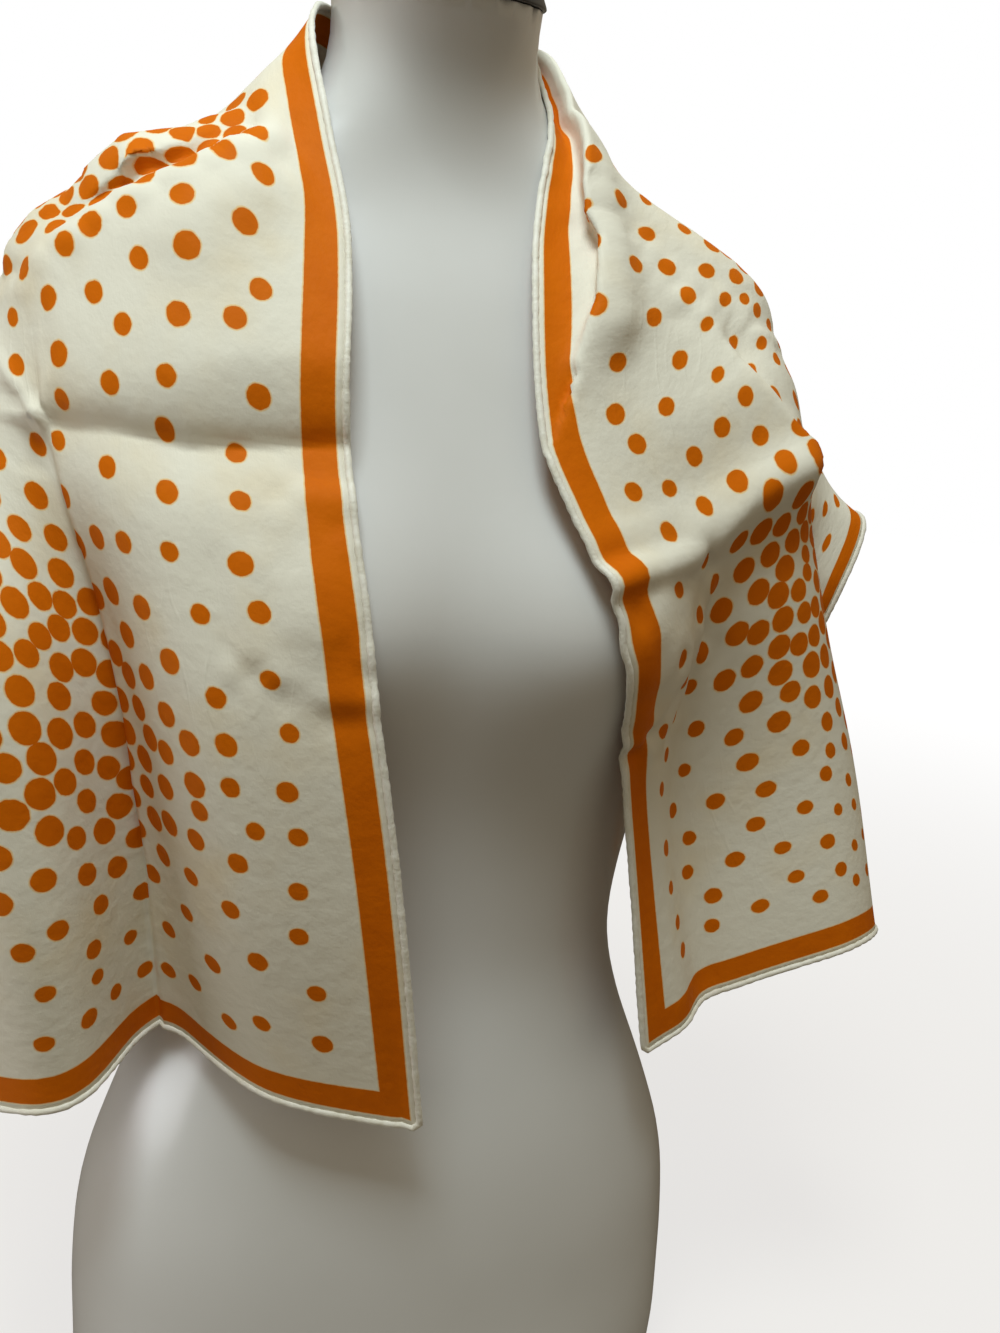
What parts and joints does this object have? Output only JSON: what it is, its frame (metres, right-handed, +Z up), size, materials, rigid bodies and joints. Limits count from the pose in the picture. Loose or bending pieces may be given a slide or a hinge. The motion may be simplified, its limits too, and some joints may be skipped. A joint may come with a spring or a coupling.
{
  "type": "oblong scarf on a dress form",
  "caption": "Oblong silk scarf with a plain border band and rolled hems, draped over the shoulders of a limbless dress form that stands on a flat foot.",
  "frame": {"origin": "middle of the dress form's flat foot, which stands on the surface at z = 0", "axes": "+Z up along the form, front of the form towards -Y, the viewer's right as seen from the front towards +X"},
  "size_m": [0.5445, 0.2798, 0.771],
  "materials": {
    "form": "glossy off-white plastic",
    "cap": "satin black plastic",
    "cloth": "ivory silk twill with orange dots and an orange border band, soft sheen",
    "hem": "ivory silk, hand-rolled hem"
  },
  "bodies": {
    "root": {"form_body": "form", "neck_cap": "cap", "scarf_left_front": "cloth", "scarf_back": "cloth", "scarf_right_front": "cloth", "hem_neck_edge": "hem", "hem_outer_edge": "hem", "hem_left_end": "hem", "hem_right_end": "hem"}
  },
  "joints": []
}
